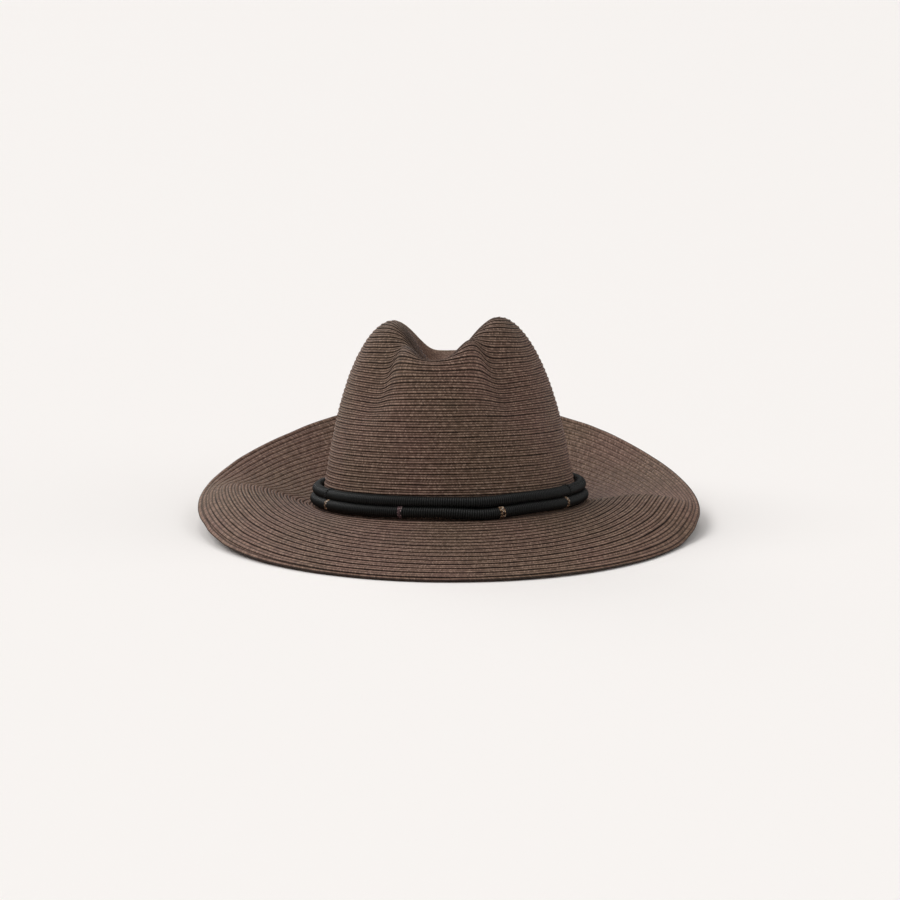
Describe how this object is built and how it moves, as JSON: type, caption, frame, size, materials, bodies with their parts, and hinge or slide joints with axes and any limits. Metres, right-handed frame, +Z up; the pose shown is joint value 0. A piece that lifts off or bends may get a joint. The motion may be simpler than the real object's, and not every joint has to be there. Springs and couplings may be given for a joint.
{
  "type": "wide-brimmed straw fedora hat",
  "caption": "Wide-brimmed braided straw fedora with a creased, pinched crown, a brim dipped in front and raised behind, and a band of two wrapped cords with beaded wraps.",
  "frame": {"origin": "on the surface it stands on, under the middle of its bounding box", "axes": "+Z up, the front of the hat towards -Y, the wearer's left towards +X"},
  "size_m": [0.334, 0.3444, 0.1382],
  "materials": {
    "straw": "matt plaited straw, dyed dusty brown",
    "cord": "satin black thread wrapped round a cord",
    "beads": "tiny dark bronze and mauve metal beads"
  },
  "bodies": {
    "root": {"crown": "straw", "brim": "straw", "band_cord_lower": "cord", "band_cord_upper": "cord", "bead_wrap_left": "beads", "bead_wrap_front_left": "beads", "bead_wrap_front_right": "beads", "bead_wrap_right": "beads", "cord_keeper_left": "cord", "cord_keeper_right": "cord"}
  },
  "joints": []
}
